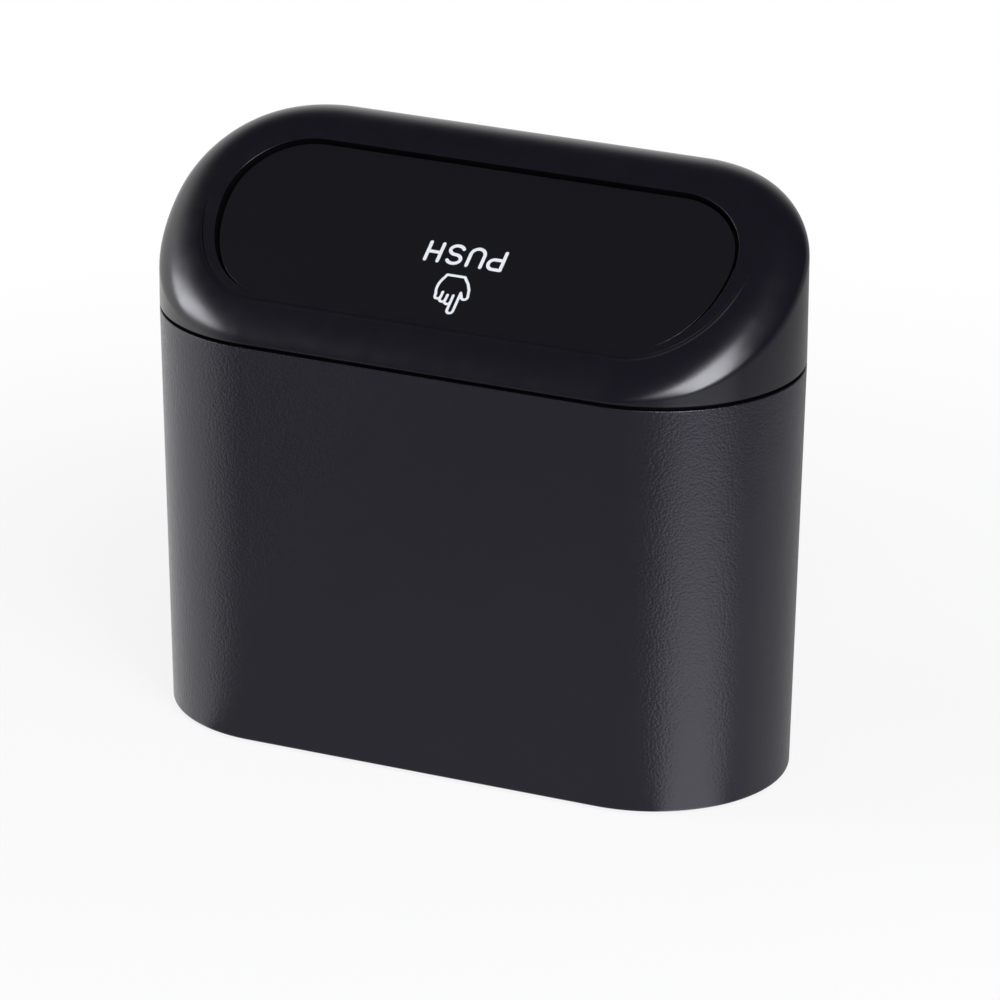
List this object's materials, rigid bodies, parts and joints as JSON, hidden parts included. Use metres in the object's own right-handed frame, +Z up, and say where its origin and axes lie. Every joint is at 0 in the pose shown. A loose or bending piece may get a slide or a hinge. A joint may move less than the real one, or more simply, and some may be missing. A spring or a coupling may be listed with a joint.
{
  "type": "car trash bin",
  "caption": "Slim black car trash bin: tapered round-ended tub and a lift-off wedge lid with a sprung push flap hinged along its high side.",
  "frame": {"origin": "centre of the four pads' standing plane, under the middle of the tub", "axes": "+Z up, +X along the length, +Y along the depth towards the lid's high back; the flap's free edge and the low front of the lid face -Y"},
  "size_m": [0.2, 0.0866, 0.1779],
  "materials": {
    "tub_plastic": "black moulded plastic with a fine leather-like grain",
    "lid_plastic": "smooth satin black",
    "flap_plastic": "matt black with white print",
    "inner_plastic": "plain moulded",
    "soft_pad": "matt foam rubber",
    "steel": "bright drawn steel"
  },
  "bodies": {
    "bin": {"bin_body": "tub_plastic", "foot_pad_front_left": "soft_pad", "foot_pad_front_right": "soft_pad", "foot_pad_back_left": "soft_pad", "foot_pad_back_right": "soft_pad", "bag_ring": "inner_plastic"},
    "lid": {"lid_cover": "lid_plastic", "hinge_bar": "inner_plastic", "hinge_rod": "steel", "rod_clip_left": "steel", "rod_clip_right": "steel", "torsion_spring_left": "steel", "torsion_spring_right": "steel", "hinge_screw_1": "steel", "hinge_screw_2": "steel", "hinge_screw_3": "steel", "hinge_screw_4": "steel", "flap_bumper_left": "soft_pad", "flap_bumper_right": "soft_pad"},
    "flap": {"push_flap": "flap_plastic"}
  },
  "joints": [
    {"name": "lid_lift", "type": "slide", "parent": "bin", "child": "lid", "axis": [0, 0, 1], "range_m": [0, 0.08]},
    {"name": "flap_push", "type": "hinge", "parent": "lid", "child": "flap", "pos_m": [0, 0.01771, 0.16438], "axis": [1, 0, 0], "range_deg": [0, 60], "stiffness_Nm_per_rad": 0.02, "springref_deg": -57.3, "deforming": ["torsion_spring_left", "torsion_spring_right"]}
  ]
}
